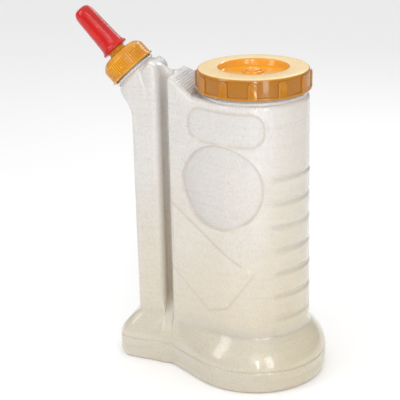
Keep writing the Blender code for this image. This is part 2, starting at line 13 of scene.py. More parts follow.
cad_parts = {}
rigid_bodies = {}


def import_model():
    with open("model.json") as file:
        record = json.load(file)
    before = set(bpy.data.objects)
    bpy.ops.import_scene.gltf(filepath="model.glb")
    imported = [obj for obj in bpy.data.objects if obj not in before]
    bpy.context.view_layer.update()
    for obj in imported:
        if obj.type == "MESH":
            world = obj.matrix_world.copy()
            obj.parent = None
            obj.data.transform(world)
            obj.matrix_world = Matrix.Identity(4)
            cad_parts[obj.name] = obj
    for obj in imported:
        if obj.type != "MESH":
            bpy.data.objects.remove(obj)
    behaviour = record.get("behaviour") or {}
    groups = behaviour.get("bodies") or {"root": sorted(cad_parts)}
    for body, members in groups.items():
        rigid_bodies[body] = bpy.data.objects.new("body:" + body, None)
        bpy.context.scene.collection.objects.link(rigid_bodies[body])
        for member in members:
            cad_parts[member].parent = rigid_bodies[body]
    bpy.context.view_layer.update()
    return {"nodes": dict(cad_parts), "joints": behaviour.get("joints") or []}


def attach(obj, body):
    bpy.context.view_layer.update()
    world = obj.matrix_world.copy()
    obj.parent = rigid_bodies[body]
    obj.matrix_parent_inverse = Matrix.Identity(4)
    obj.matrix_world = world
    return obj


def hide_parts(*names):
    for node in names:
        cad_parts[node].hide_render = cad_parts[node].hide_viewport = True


for obj in list(bpy.data.objects):
    bpy.data.objects.remove(obj, do_unlink=True)
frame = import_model()
MM = 0.001
JOINTS = {joint["name"]: joint for joint in frame["joints"]}
CHAMBER_X = JOINTS["lid_turn"]["pos_m"][0]
NECK_AT = Vector(JOINTS["collar_turn"]["pos_m"])
NECK_TILT = math.atan2(-JOINTS["collar_turn"]["axis"][0], JOINTS["collar_turn"]["axis"][2])
print("chamber axis x", round(CHAMBER_X, 4), "neck", [round(v, 4) for v in NECK_AT],
      "tilt", round(math.degrees(NECK_TILT), 1))

# %% [markdown]
# ## Small helpers for shaping
# Every operator acts on what is selected, so each piece starts from an empty selection.
# Turned pieces are made as on a lathe: a circle is added, then extruded and scaled step
# by step up its profile. A profile that comes back to its first ring closes on itself.
# %% Helpers for operators
def clear_selection():
    if bpy.context.mode != "OBJECT":
        bpy.ops.object.mode_set(mode="OBJECT")
    bpy.ops.object.select_all(action="DESELECT")


def make_active(*objects):
    clear_selection()
    for obj in objects:
        obj.select_set(True)
    bpy.context.view_layer.objects.active = objects[0]
    return objects[0]


def settle(obj):
    """Put the object's place and turn into its mesh."""
    make_active(obj)
    bpy.ops.object.transform_apply(location=True, rotation=True, scale=True)
    return obj


def face_outwards(obj):
    make_active(obj)
    bpy.ops.object.mode_set(mode="EDIT")
    bpy.ops.mesh.select_all(action="SELECT")
    bpy.ops.mesh.remove_doubles(threshold=0.000002)
    bpy.ops.mesh.normals_make_consistent(inside=False)
    bpy.ops.object.mode_set(mode="OBJECT")
    return obj


def lathe(name, profile, sides):
    """Turn a profile of (radius, height) steps in mm about Z; an open one gets flat ends."""
    clear_selection()
    closed = profile[0] == profile[-1]
    start_radius, start_height = profile[0]
    bpy.ops.mesh.primitive_circle_add(vertices=sides, radius=start_radius * MM,
                                      fill_type="NOTHING" if closed else "NGON",
                                      location=(0, 0, start_height * MM))
    obj = bpy.context.active_object
    obj.name = name
    bpy.ops.object.transform_apply(location=True, rotation=False, scale=False)
    bpy.ops.object.mode_set(mode="EDIT")
    bpy.ops.mesh.select_mode(type="VERT")
    bpy.ops.mesh.select_all(action="SELECT")
    for (r0, z0), (r1, z1) in zip(profile, profile[1:]):
        rise = (0, 0, (z1 - z0) * MM)
        bpy.ops.mesh.extrude_region_move(TRANSFORM_OT_translate={"value": rise})
        if r1 != r0:
            bpy.ops.transform.resize(value=(r1 / r0, r1 / r0, 1), center_override=(0, 0, z1 * MM))
    bpy.ops.object.mode_set(mode="OBJECT")
    return face_outwards(obj)


def mesh_object(name, bm):
    """An object from points and faces worked out in code."""
    bmesh.ops.recalc_face_normals(bm, faces=bm.faces)
    mesh = bpy.data.meshes.new(name)
    bm.to_mesh(mesh)
    bm.free()
    obj = bpy.data.objects.new(name, mesh)
    bpy.context.scene.collection.objects.link(obj)
    return obj


def combine(target, tool, operation):
    """Join or cut with the Boolean modifier, applied, and drop the tool."""
    make_active(target)
    mod = target.modifiers.new(operation.lower(), "BOOLEAN")
    mod.operation = operation
    mod.solver = "EXACT"
    mod.object = tool
    bpy.ops.object.modifier_apply(modifier=mod.name)
    bpy.data.objects.remove(tool, do_unlink=True)
    return target


def onto_neck(obj):
    """Move a piece made about Z onto the feed neck's slanted axis."""
    obj.matrix_world = Matrix.Translation(NECK_AT) @ Matrix.Rotation(-NECK_TILT, 4, "Y")
    return settle(obj)


def onto_chamber(obj):
    obj.location = (CHAMBER_X, 0, 0)
    return settle(obj)


def polish(obj, material, angle):
    """Give the piece its material, smooth its faces up to an angle and print its size."""
    make_active(obj)
    obj.data.materials.clear()
    obj.data.materials.append(material)
    bpy.ops.object.shade_smooth_by_angle(angle=math.radians(angle))
    triangles = sum(len(face.vertices) - 2 for face in obj.data.polygons)
    lo = [round(1000 * min(v.co[i] for v in obj.data.vertices), 1) for i in range(3)]
    hi = [round(1000 * max(v.co[i] for v in obj.data.vertices), 1) for i in range(3)]
    print(f"{obj.name}: {triangles} triangles, from {lo} to {hi} mm")
    return obj


def smoothstep(low, high, value):
    t = min(1.0, max(0.0, (value - low) / (high - low)))
    return t * t * (3.0 - 2.0 * t)


def mix(a, b, t):
    return a + (b - a) * t


# %% [markdown]
# ## Writing materials as sums
# A finish is easier to read as arithmetic than as a list of links. `Wire` wraps a socket
# so that +, - and * add the Math nodes, and `Finish` owns one material and makes any other
# node from its type, its settings and its inputs.
# %% The shader helpers
class Wire:
    """One shader value that can be used in sums."""

    def __init__(self, owner, socket):
        self.owner, self.socket = owner, socket

    def sum_of(self, operation, first, second):
        return self.owner.node("ShaderNodeMath", {"operation": operation}, {0: first, 1: second})

    def __add__(self, other):
        return self.sum_of("ADD", self, other)

    def __radd__(self, other):
        return self.sum_of("ADD", other, self)

    def __sub__(self, other):
        return self.sum_of("SUBTRACT", self, other)

    def __rsub__(self, other):
        return self.sum_of("SUBTRACT", other, self)

    def __mul__(self, other):
        return self.sum_of("MULTIPLY", self, other)

    def __rmul__(self, other):
        return self.sum_of("MULTIPLY", other, self)


class Finish:
    """One material: sockets that stay the same are set, patterns are linked."""

    def __init__(self, name, **constants):
        self.material = bpy.data.materials.new(name)
        self.material.use_nodes = True
        self.tree = self.material.node_tree
        self.shader = self.tree.nodes["Principled BSDF"]
        for key, value in constants.items():
            self.shader.inputs[key.replace("_", " ")].default_value = value
        self.place = self.node("ShaderNodeTexCoord", output="Object")

    def node(self, kind, settings=None, inputs=None, output=0):
        made = self.tree.nodes.new(kind)
        for key, value in (settings or {}).items():
            setattr(made, key, value)
        for key, value in (inputs or {}).items():
            self.feed(made.inputs[key], value)
        return Wire(self, made.outputs[output])

    def feed(self, socket, value):
        if isinstance(value, Wire):
            self.tree.links.new(value.socket, socket)
        else:
            socket.default_value = value

    def noise(self, scale, detail=2.0, stretch=(1, 1, 1)):
        where = self.node("ShaderNodeMapping", None, {"Vector": self.place, "Scale": stretch})
        return self.node("ShaderNodeTexNoise", None,
                         {"Vector": where, "Scale": scale, "Detail": detail})

    def specks(self, scale, size):
        """Small round dots, 1 at their middle and 0 around them."""
        cell = self.node("ShaderNodeTexVoronoi", None,
                         {"Vector": self.place, "Scale": scale}, "Distance")
        return self.ramp(cell, size, size * 0.35)

    def ramp(self, value, low, high):
        """0 below low and 1 above high, or the other way round, with soft ends."""
        return self.node("ShaderNodeMapRange", {"interpolation_type": "SMOOTHSTEP"},
                         {"Value": value, "From Min": low, "From Max": high})

    def blend(self, factor, a, b):
        """Colour a where the factor is 0, colour b where it is 1."""
        return self.node("ShaderNodeMix", {"data_type": "RGBA"}, {0: factor, 6: a, 7: b}, 2)

    def axis(self, name):
        return self.node("ShaderNodeSeparateXYZ", None, {0: self.place}, name)

    def bump(self, height, strength, distance):
        normal = self.node("ShaderNodeBump", None,
                           {"Height": height, "Strength": strength, "Distance": distance})
        self.feed(self.shader.inputs["Normal"], normal)

    def paint(self, colour, roughness=None):
        self.feed(self.shader.inputs["Base Color"], colour)
        if roughness is not None:
            self.feed(self.shader.inputs["Roughness"], roughness)
        return self.material


def rgb(red, green, blue):
    """A colour given as display values out of 255, as the shader wants it."""
    return tuple(((v / 255 + 0.055) / 1.055) ** 2.4 for v in (red, green, blue)) + (1.0,)


print("shader helpers ready")

# %% [markdown]
# ## Milky polyethylene
# The flask is natural polyethylene: it scatters light inside its wall, so it looks lit
# from within. It is whiter at the top and front and creamier towards the bottom, and
# painted shade makes it creamier towards the round end. A fine grain, level streaks and
# patches of dark specks lie over that, the steps of the relief carry a dark line of
# painted shade, and the mould leaves a faint orange-peel texture.
# %% Material of the flask
def milky_plastic():
    milk = Finish("milky_flask", Subsurface_Weight=0.55, Subsurface_Radius=(1.0, 0.88, 0.70),
                  Subsurface_Scale=0.007, Transmission_Weight=0.42, IOR=1.48,
                  Coat_Weight=1.0, Coat_Roughness=0.07)
    height, across = milk.axis("Z"), milk.axis("X")
    cream = milk.ramp(height, 0.230, 0.010)
    # painted shade: creamier towards the round end, whose wall is seen at a grazing angle
    round_end_shade = milk.ramp(across, 0.050, 0.100)
    cloud = milk.noise(24.0, 4.0, (1.0, 1.0, 0.5))
    warm_and_edge_shade = cream * 0.75 + round_end_shade * 0.3 + (cloud - 0.5) * 0.6
    base = milk.blend(warm_and_edge_shade, rgb(248, 243, 239), rgb(240, 226, 198))
    grain = milk.noise(650.0, 2.0, (1.0, 1.0, 0.7))
    base = milk.blend(milk.ramp(grain, 0.35, 0.75) * 0.26, base, rgb(204, 193, 172))
    streaks = milk.ramp(milk.noise(100.0, 3.0, (0.2, 0.2, 6.0)), 0.48, 0.72)
    base = milk.blend(streaks * 0.17, base, rgb(214, 202, 180))
    # painted shade: a darker line along each step of the relief
    step = milk.node("ShaderNodeAttribute", {"attribute_name": "mould_edge"}, None, "Fac")
    base = milk.blend(step * 0.34, base, rgb(176, 160, 132))
    dust = milk.specks(300.0, 0.17) * milk.ramp(milk.noise(24.0, 2.0), 0.46, 0.60)
    base = milk.blend(dust * 0.5, base, rgb(140, 128, 108))
    orange_peel = milk.noise(110.0, 2.0, (1.0, 1.0, 0.3))
    milk.bump(grain * 0.9 + orange_peel * 0.6 + streaks * 0.25, 0.32, 0.0006)
    return milk.paint(base, milk.noise(60.0, 3.0) * 0.18 + 0.24)


FLASK = milky_plastic()
print(FLASK.name, len(FLASK.node_tree.nodes), "nodes")

# %% [markdown]
# ## Amber plastic, golden plastic and red rubber
# The lid is glossy amber, with a paler, finely textured top face around a polished dish, and
# painted shade darkens the skirt between the lugs.
# The collar is a duller gold scattered with pale specks. The teat is smooth red rubber
# whose surface is slightly uneven, with a paler bloom where it has been handled.
# %% Materials of the caps and the teat
LID_TOP, DISH_R, SKIRT_R = 258.5 * MM, 28.2 * MM, 44.8 * MM
AMBER_DEPTH = (1.0, 0.45, 0.1)


def amber_plastic():
    amber = Finish("amber_lid", IOR=1.4, Subsurface_Weight=0.08, Subsurface_Radius=AMBER_DEPTH,
                   Subsurface_Scale=0.002, Coat_Weight=0.4, Coat_Roughness=0.05)
    height, across, depth = amber.axis("Z"), amber.axis("X"), amber.axis("Y")
    outward = amber.node("ShaderNodeCombineXYZ", None, {0: across - CHAMBER_X, 1: depth})
    from_axis = amber.node("ShaderNodeVectorMath", {"operation": "LENGTH"}, {0: outward}, "Value")
    top = (amber.ramp(height, LID_TOP - 1.1 * MM, LID_TOP - 0.3 * MM)
           * amber.ramp(from_axis, DISH_R, DISH_R + 0.7 * MM))
    dish = amber.ramp(from_axis, DISH_R + 0.4 * MM, DISH_R - 0.4 * MM)
    cloud = amber.noise(45.0, 4.0)
    side = amber.blend(cloud, rgb(188, 124, 8), rgb(160, 98, 3))
    # painted shade: the skirt between the lugs is painted a darker amber
    between_lugs_shade = (amber.ramp(from_axis, SKIRT_R + 0.8 * MM, SKIRT_R + 0.2 * MM)
                    * amber.ramp(from_axis, SKIRT_R - 0.8 * MM, SKIRT_R - 0.4 * MM)
                    * amber.ramp(height, LID_TOP - 1.3 * MM, LID_TOP - 2.3 * MM))
    side = amber.blend(between_lugs_shade, side, rgb(160, 102, 6))
    side = amber.blend(dish, side, rgb(236, 160, 36))
    base = amber.blend(top, side, rgb(240, 212, 154))
    fine = amber.noise(900.0, 2.0)
    base = amber.blend((amber.noise(320.0, 2.0) - 0.4) * 0.35, base, rgb(176, 98, 12))
    amber.bump(fine * (top * 0.9 + 0.1) + amber.noise(90.0, 2.0) * 0.5, 0.2, 0.0004)
    return amber.paint(base, top * 0.28 + cloud * 0.10 + 0.10)


def gold_plastic():
    gold = Finish("gold_collar", IOR=1.4, Subsurface_Weight=0.06, Subsurface_Radius=AMBER_DEPTH,
                  Subsurface_Scale=0.0015, Coat_Weight=0.3, Coat_Roughness=0.06)
    cloud = gold.noise(70.0, 4.0)
    base = gold.blend(cloud, rgb(226, 158, 22), rgb(180, 110, 6))
    base = gold.blend(gold.specks(260.0, 0.2) * 0.6, base, rgb(250, 226, 150))
    gold.bump(gold.noise(500.0, 3.0), 0.25, 0.0004)
    return gold.paint(base, cloud * 0.18 + 0.14)


def red_rubber():
    red = Finish("red_teat", IOR=1.4, Subsurface_Weight=0.05, Subsurface_Radius=(1.0, 0.2, 0.1),
                 Subsurface_Scale=0.0015, Coat_Weight=0.3, Coat_Roughness=0.06)
    cloud = red.noise(60.0, 4.0)
    base = red.blend(cloud, rgb(206, 16, 8), rgb(160, 3, 3))
    bloom = red.ramp(red.noise(170.0, 3.0), 0.60, 0.78)
    base = red.blend(bloom * 0.3, base, rgb(236, 84, 70))
    red.bump(red.noise(240.0, 3.0) * 0.7 + red.noise(900.0, 2.0) * 0.3, 0.22, 0.0004)
    return red.paint(base, cloud * 0.14 + 0.18)


def soft_seal():
    seal = Finish("pale_seal", IOR=1.45, Subsurface_Weight=0.2, Subsurface_Scale=0.001)
    grain = seal.noise(700.0, 3.0)
    base = seal.blend(grain, rgb(226, 222, 212), rgb(198, 192, 178))
    seal.bump(grain, 0.3, 0.0003)
    return seal.paint(base, seal.noise(120.0, 2.0) * 0.2 + 0.55)


AMBER, GOLD, RED, SEAL = amber_plastic(), gold_plastic(), red_rubber(), soft_seal()
print("finishes:", AMBER.name, GOLD.name, RED.name, SEAL.name)

# %% [markdown]
# ## The flask's outline
# Seen from above, the flask is a round chamber whose flat sides close in on the feed tube,
# with a pinched web between them. Primitives and edit-mode steps can't give a section
# that changes all the way up and carries shallow relief, so the flask is lofted: one
# outline is worked out for each height, and the outlines are skinned. These are the same
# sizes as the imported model's, with many more points.
# %% Sizes of the flask
CHAMBER_R_LOW, CHAMBER_R_HIGH = 46.0 * MM, 44.6 * MM
CHAMBER_END = -66.0 * MM
SIDE_ANGLE = math.radians(22.8)
TUBE_RIGHT, TUBE_LEFT, TUBE_HALF = -75.0 * MM, -99.6 * MM, 16.0 * MM
TUBE_CORNER, WEB_HALF, CHANNEL_FILLET = 6.0 * MM, 2.2 * MM, 4.2 * MM
WALL = 1.9 * MM
FOOT_R, FOOT_ANGLE, FOOT_LEFT = 60.0 * MM, math.radians(35.0), -117.0 * MM
FOOT_HALF_TUBE, FOOT_HALF_END, FOOT_HALF_WEB = 24.6 * MM, 21.5 * MM, 26.4 * MM
FOOT_TOP, RIM_TOP, RIM_LOW, RIM_ROLL = 44.0 * MM, 19.0 * MM, 10.0 * MM, 4.3 * MM
BASE_RING, PUSH_UP = 7.0 * MM, 2.5 * MM
WEB_FADE_TOP, WEB_FADE_LOW = 62.0 * MM, 26.0 * MM
SHOULDER_Z, EDGE_ROUND = 238.0 * MM, 4.5 * MM
TOP_LINE = [(-42.3 * MM, SHOULDER_Z), (-64.0 * MM, 252.3 * MM), (-68.0 * MM, 252.3 * MM),
            (-83.0 * MM, 260.6 * MM)]
GROOVE_LEVELS = [(59.5 + 19.8 * k) * MM for k in range(7)]
GROOVE_DEPTH, GROOVE_HALF = 1.5 * MM, 2.8 * MM
GROOVE_FULL, GROOVE_END = math.radians(46.0), math.radians(62.0)
LEVEL_STEP = 1.15 * MM
SIDE_STEPS = 50
print("outline sizes set; a level every", LEVEL_STEP / MM, "mm")


# %% Outline at one height
def flare(z):
    """0 on the wall, 1 at the foot's rim: a short fillet, then a bell curve."""
    u = min(1.0, max(0.0, (FOOT_TOP - z) / (FOOT_TOP - RIM_TOP)))
    return math.sin(0.5 * math.pi * u) * (u / (u + 0.05)) * 1.05


def groove(z, angle):
    """Depth of the grip grooves at a height and direction."""
    side = 1.0 - smoothstep(GROOVE_FULL, GROOVE_END, abs(angle))
    if side == 0.0:
        return 0.0
    off = min(abs(z - level) for level in GROOVE_LEVELS) / GROOVE_HALF
    return GROOVE_DEPTH * side * (1.0 - off * off) if off < 1.0 else 0.0


def chamber_radius(z):
    high = min(1.0, max(0.0, (z - FOOT_TOP) / (SHOULDER_Z - FOOT_TOP)))
    return mix(CHAMBER_R_LOW, CHAMBER_R_HIGH, high)


def side_corner(radius, angle, end_x):
    """Where the flat side meets the end face."""
    run = (-radius * math.sin(angle) - end_x) / math.cos(angle)
    return Vector((end_x, -radius * math.cos(angle) + run * math.sin(angle)))


def round_corner(before, corner, after, radius, steps):
    """Points of the arc that rounds one corner of an outline."""
    d_in, d_out = corner - before, after - corner
    turn = max(0.02, d_in.angle(d_out))
    room = 0.46 * min(d_in.length, d_out.length)
    reach = max(0.1 * room, min(room, radius * math.tan(turn / 2)))
    first, last = corner - d_in.normalized() * reach, corner + d_out.normalized() * reach
    weight = math.cos(turn / 2)
    points = []
    for k in range(steps + 1):
        t = k / steps
        a, b, c = (1 - t) ** 2, 2 * t * (1 - t) * weight, t * t
        points.append((first * a + corner * b + last * c) / (a + b + c))
    return points


def stretch_points(a, b, parts):
    """Points between a and b, without either."""
    return [a.lerp(b, k / parts) for k in range(1, parts)]


def mirror_outline(half):
    return half + [Vector((p.x, -p.y)) for p in reversed(half[1:-1])]


print("groove depth at its middle", round(groove(GROOVE_LEVELS[0], 0.0) / MM, 2), "mm")

# %% [markdown]
# ## Shallow relief on the side panel
# The mould leaves a long rounded recess under the lid, an oval one below it with a flat
# floor, and a plain slanted band. Each is a signed distance on the unrolled side, where s
# runs along the surface from the line where the flat side leaves the round one, and the
# edge of each step is softened over a millimetre. The sizes here are in millimetres.
# %% Relief as a height over the side
RELIEF_LOW, RELIEF_TOP = 50.0, 236.0
BEAD_AWAY, BEAD_HALF = 1.5, 1.3
LONG_S, LONG_Z, LONG_HALF, LONG_RISE, LONG_CORNER = 3.3, 217.5, 34.6, 13.0, 11.5
OVAL_S, OVAL_Z, OVAL_HALF, OVAL_RISE, OVAL_TURN = -0.8, 168.6, 37.6, 34.6, math.radians(12.0)


def step_edge(distance, soft):
    """1 well inside (negative distance), 0 outside."""
    return 1.0 - smoothstep(-soft, soft, distance)


def bead(distance, height):
    """A thin raised line that follows an edge just outside it."""
    off = abs(distance - BEAD_AWAY) / BEAD_HALF
    return height * (1.0 - off * off) ** 2 if off < 1.0 else 0.0


def long_recess(s, z):
    """Distance from a rounded box."""
    across = abs(s - LONG_S) - LONG_HALF + LONG_CORNER
    up = abs(z - LONG_Z) - LONG_RISE + LONG_CORNER
    outside = math.hypot(max(across, 0.0), max(up, 0.0))
    return outside + min(max(across, up), 0.0) - LONG_CORNER


def oval_recess(s, z):
    """Distance from a tilted oval, close enough near its edge."""
    s, z = s - OVAL_S, z - OVAL_Z
    u = s * math.cos(OVAL_TURN) + z * math.sin(OVAL_TURN)
    v = -s * math.sin(OVAL_TURN) + z * math.cos(OVAL_TURN)
    return (math.hypot(u / OVAL_HALF, v / OVAL_RISE) - 1.0) * 36.0


BAND_EDGES = [((-49.0, 147.0), (30.1, 99.7)), ((30.1, 99.7), (7.2, 68.3)),
              ((7.2, 68.3), (-11.6, 61.4)), ((-11.6, 61.4), (-60.0, 98.5))]


def slanted_band(s, z):
    """Distance from a plain band that slants down towards the round end."""
    furthest = -100.0
    for (s0, z0), (s1, z1) in BAND_EDGES:
        along_s, along_z = s1 - s0, z1 - z0
        cross = (s - s0) * along_z - (z - z0) * along_s
        furthest = max(furthest, -cross / math.hypot(along_s, along_z))
    return furthest


def relief(s, z):
    """Height of the mould's relief in metres; s and z are in mm."""
    if not RELIEF_LOW < z < RELIEF_TOP or s > 60.0:
        return 0.0
    height = -0.9 * step_edge(long_recess(s, z), 0.7) + bead(long_recess(s, z), 0.35)
    hollow = max(0.7, 1.5 - 0.030 * (s - OVAL_S) - 0.008 * (z - OVAL_Z))
    height += bead(oval_recess(s, z), 0.4) - hollow * step_edge(oval_recess(s, z), 0.8)
    height += 0.7 * step_edge(slanted_band(s, z), 0.7)
    height -= 0.3 * smoothstep(43.6, 42.4, s) * smoothstep(183.0, 190.0, z)
    return height * MM


print("relief in the long recess", relief(0, 217) / MM, "on the band", relief(-10, 95) / MM, "mm")

# %% [markdown]
# ## Skinning the flask
# Each outline is made from the front half: the round end, the flat side, the corner, the
# channel with its web, and the tube. The same count of points at every height lets
# neighbouring outlines be joined with quads, and the top is draped over the thumb rest
# and the tube's sloping roof.
# %% Outline, top line and skin
ROUND_TURNS = ([k / 25 * 0.47 for k in range(25)]
               + [0.47 + k / SIDE_STEPS * 0.53 for k in range(SIDE_STEPS + 1)])


def flask_outline(z, inset=0.0, carved=True):
    """Chamber, web and tube in one outline, seen from above."""
    f = flare(z)
    web = 1.0 - smoothstep(WEB_FADE_LOW, WEB_FADE_TOP, z)
    radius = mix(chamber_radius(z), FOOT_R, f) - inset
    angle = mix(SIDE_ANGLE, FOOT_ANGLE, f)
    end_x = CHAMBER_END + inset * (1.0 - 0.6 * web)
    web_half = mix(WEB_HALF, FOOT_HALF_WEB, web)
    web_half -= min(inset, 0.7 * web_half)
    right_x = mix(TUBE_RIGHT, TUBE_RIGHT - 10.0 * MM, f) - inset * (1.0 - web)
    left_x = mix(TUBE_LEFT, FOOT_LEFT, f) + inset
    half_right = mix(TUBE_HALF, FOOT_HALF_TUBE, f) - inset
    half_left = mix(TUBE_HALF, FOOT_HALF_END, f) - inset
    last_turn = math.pi / 2 + angle
    height = z / MM
    half = []
    for turn in ROUND_TURNS:
        at = -turn * last_turn
        s = (last_turn + at) * radius / MM
        r = radius + (relief(s, height) - groove(z, at) if carved else 0.0)
        half.append(Vector((r * math.cos(at), r * math.sin(at))))
    outward = Vector((math.cos(-last_turn), math.sin(-last_turn)))
    tangent = outward * radius
    corners = [
        (side_corner(radius, angle, end_x), max(0.5 * MM, mix(5.0 * MM, 14.0 * MM, f) - inset)),
        (Vector((end_x - 2.0 * MM * web, -web_half)), CHANNEL_FILLET + inset),
        (Vector((TUBE_RIGHT - inset * (1.0 - web), -web_half)), CHANNEL_FILLET + inset),
        (Vector((right_x, -half_right)), max(0.5 * MM, TUBE_CORNER - inset)),
        (Vector((left_x, -half_left)), max(0.5 * MM, mix(TUBE_CORNER, 19.0 * MM, f) - inset)),
    ]
    path = [tangent] + [c for c, _ in corners] + [Vector((left_x, 0.0))]
    between = [SIDE_STEPS, 4, 3, 5, 14, 6]
    last = tangent
    for k, (corner, rounding) in enumerate(corners):
        rounded = round_corner(path[k], corner, path[k + 2], rounding, 6)
        for point in stretch_points(last, rounded[0], between[k]):
            if k == 0 and carved:
                point = point + outward * relief(-(point - tangent).length / MM, height)
            half.append(point)
        half += rounded
        last = rounded[-1]
    half += stretch_points(last, Vector((left_x, 0.0)), between[5]) + [Vector((left_x, 0.0))]
    return mirror_outline(half)


def top_height(x):
    """Height of the top over the chamber, the thumb rest and the tube's roof."""
    if x >= TOP_LINE[0][0]:
        return SHOULDER_Z
    for (x0, z0), (x1, z1) in zip(TOP_LINE, TOP_LINE[1:]):
        if x >= x1:
            return mix(z0, z1, (x - x0) / (x1 - x0))
    return TOP_LINE[-1][1] + (x - TOP_LINE[-1][0]) * math.tan(NECK_TILT)


def level(outline, z):
    return [(p.x + CHAMBER_X, p.y, z) for p in outline]


def draped(outline, drop):
    return [(p.x + CHAMBER_X, p.y, top_height(p.x) - drop) for p in outline]


def close_end(bm, loop):
    """Close a ring that mirrors about its first and middle points with strips along Y."""
    half = loop[:len(loop) // 2 + 1]
    steps = [[half[0]]]
    for vert in half[1:]:
        if abs(vert.co.x - steps[-1][-1].co.x) < 0.000002:
            steps[-1].append(vert)
        else:
            steps.append([vert])
    mirror = {vert: loop[-i] for i, vert in enumerate(loop)}
    for near, far in zip(steps, steps[1:]):
        start = near if abs(near[-1].co.y) > abs(near[0].co.y) else near[-1:]
        end = far if abs(far[-1].co.y) < abs(far[0].co.y) else far[:1]
        side = start + end
        bm.faces.new(side + [mirror[v] for v in reversed(side) if mirror[v] is not v])


def skin(name, rings):
    bm = bmesh.new()
    loops = [[bm.verts.new(point) for point in ring] for ring in rings]
    count = len(loops[0])
    for low, high in zip(loops, loops[1:]):
        for i in range(count):
            j = (i + 1) % count
            bm.faces.new((low[i], low[j], high[j], high[i]))
    close_end(bm, loops[0])
    close_end(bm, loops[-1])
    return mesh_object(name, bm)


print(len(flask_outline(0.1)), "points in each outline")

# %% [markdown]
# ## The outer shell
# The foot rolls in to a flat ring that it stands on. A shallow crease and a bead mark the
# edges of the rim, where the two halves of the mould pinch the plastic.
# %% The outer shell
RIM_STEPS = ((10.4, 0.0), (11.0, 0.25), (12.0, 0.1), (15.0, 0.0), (17.6, 0.0), (18.6, 0.25),
             (19.3, 0.8), (20.0, 0.35), (21.0, 0.1))


def outer_shell():
    inner = RIM_ROLL + BASE_RING
    rings = [level(flask_outline(0.0, inner + 3.0 * MM), PUSH_UP),
             level(flask_outline(0.0, inner), 0.0), level(flask_outline(0.0, RIM_ROLL), 0.0)]
    for k in range(1, 9):
        part = k / 8
        roll = RIM_ROLL * (1.0 - math.sin(0.5 * math.pi * part))
        rings.append(level(flask_outline(0.0, roll), RIM_LOW * part * part * 0.97))
    for z, inset in RIM_STEPS:
        rings.append(level(flask_outline(z * MM, inset * MM), z * MM))
    z = 22.5 * MM
    while z < 216.0 * MM:
        rings.append(level(flask_outline(z), z))
        z += LEVEL_STEP
    low = z
    count = round((SHOULDER_Z - EDGE_ROUND - low) / LEVEL_STEP)
    for k in range(count):
        z = mix(low, SHOULDER_Z - EDGE_ROUND - 1.5 * MM, k / count)
        rings.append(level(flask_outline(z), z))
    for k in range(9):
        a = 0.5 * math.pi * k / 8
        outline = flask_outline(SHOULDER_Z, EDGE_ROUND * (1.0 - math.cos(a)))
        rings.append(draped(outline, EDGE_ROUND * (1.0 - math.sin(a))))
    return skin("flask", rings)


flask = outer_shell()
print("outer shell", len(flask.data.polygons), "faces")

# %% [markdown]
# ## Necks, head and thumb ridges
# The lid's neck and the feed neck are turned on a lathe, with a thread run around each.
# The head blends the tube's section into a tilted circle. Nine fine ridges on the thumb
# rest stop a wet thumb from slipping. All are joined into one solid before they meet the
# big shell, so that the slow step is done once.
# %% Parts that are joined to the shell
HEAD_START, HEAD_R, HEAD_STEPS = 212.0 * MM, 19.6 * MM, 10
RIDGES, RIDGE_R = 9, 0.62 * MM
LID_NECK = [(42.4, 236.5), (42.4, 239.2), (40.8, 240.8), (40.8, 253.9), (40.5, 254.5),
            (40.0, 254.7), (36.0, 254.7), (36.0, 236.5), (42.4, 236.5)]
FEED_NECK = [(18.6, -7.5), (19.2, -5.4), (18.3, -4.2), (17.4, -3.4), (18.5, -2.9), (18.9, -2.5),
             (18.9, -1.5), (18.5, -1.1), (17.4, -0.6), (16.4, 0.4), (16.4, 8.9), (16.2, 9.4),
             (15.7, 9.6), (11.0, 9.6), (11.0, -7.5), (18.6, -7.5)]


def thread(name, root, crest, start, pitch, turns, phase):
    """One screw thread with run-out ends, in mm; its root is buried in the wall."""
    steps = int(turns * 60)
    bm = bmesh.new()
    loops = []
    for k in range(steps + 1):
        along = k / steps
        fade = min(1.0, 9.0 * along, 9.0 * (1.0 - along))
        tip = root + (crest - root) * (0.25 + 0.75 * fade)
        angle = phase + along * turns * 2 * math.pi
        z = start + along * turns * pitch
        section = ((root, -1.1), (tip, -0.45), (tip, 0.45), (root, 1.1))
        outward = Vector((math.cos(angle), math.sin(angle), 0.0))
        loops.append([bm.verts.new((outward * r + Vector((0, 0, z + dz))) * MM)
                      for r, dz in section])
    for low, high in zip(loops, loops[1:]):
        for i in range(4):
            bm.faces.new((low[i], low[(i + 1) % 4], high[(i + 1) % 4], high[i]))
    bm.faces.new(loops[0])
    bm.faces.new(loops[-1])
    return mesh_object(name, bm)


def tube_section(inset):
    """The feed tube alone, as an outline."""
    right_x, left_x, half_y = TUBE_RIGHT - inset, TUBE_LEFT + inset, TUBE_HALF - inset
    corners = [Vector((right_x, -half_y)), Vector((left_x, -half_y))]
    path = [Vector((right_x, 0.0))] + corners + [Vector((left_x, 0.0))]
    half, last = [path[0]], path[0]
    for k, corner in enumerate(corners):
        rounded = round_corner(path[k], corner, path[k + 2], TUBE_CORNER - inset, 6)
        half += stretch_points(last, rounded[0], (5, 10)[k]) + rounded
        last = rounded[-1]
    half += stretch_points(last, path[-1], 5) + [path[-1]]
    return mirror_outline(half)


